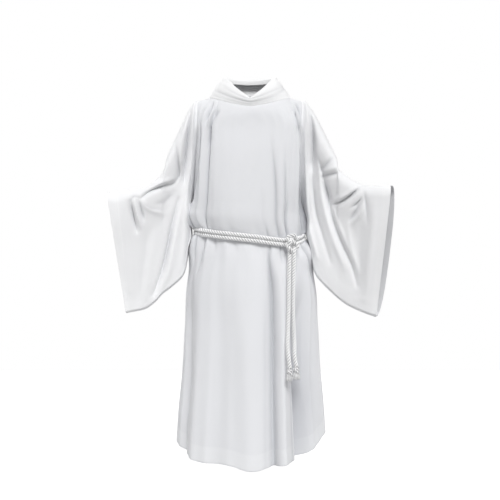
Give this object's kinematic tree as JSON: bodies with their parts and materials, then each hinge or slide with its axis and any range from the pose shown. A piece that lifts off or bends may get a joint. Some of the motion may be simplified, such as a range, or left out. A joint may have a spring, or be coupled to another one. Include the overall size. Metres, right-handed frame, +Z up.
{
  "type": "alb robe",
  "caption": "Long white alb held open as worn, with bell sleeves, a soft cowl collar and a twisted rope cincture knotted at the waist with tasselled ends.",
  "frame": {"origin": "middle of the shoulder line, where the wearer's shoulders carry the garment", "axes": "+Z up, the front faces -Y, +X towards the wearer's left arm"},
  "size_m": [1.0691, 0.5096, 1.5161],
  "materials": {
    "white_cloth": "plain matt white cloth of a fine close weave with a soft fall",
    "white_rope": "soft twisted white cotton rope of three strands"
  },
  "bodies": {
    "root": {"front_bodice": "white_cloth", "front_skirt": "white_cloth", "back_bodice": "white_cloth", "back_skirt": "white_cloth", "sleeve_right": "white_cloth", "sleeve_left": "white_cloth", "cowl_collar_right": "white_cloth", "cowl_collar_left": "white_cloth", "cincture_waist_upper": "white_rope", "cincture_waist_lower": "white_rope", "cincture_knot": "white_rope", "cincture_tail_inner": "white_rope", "cincture_tail_outer": "white_rope", "cincture_tassel_inner": "white_rope", "cincture_tassel_outer": "white_rope"}
  },
  "joints": []
}
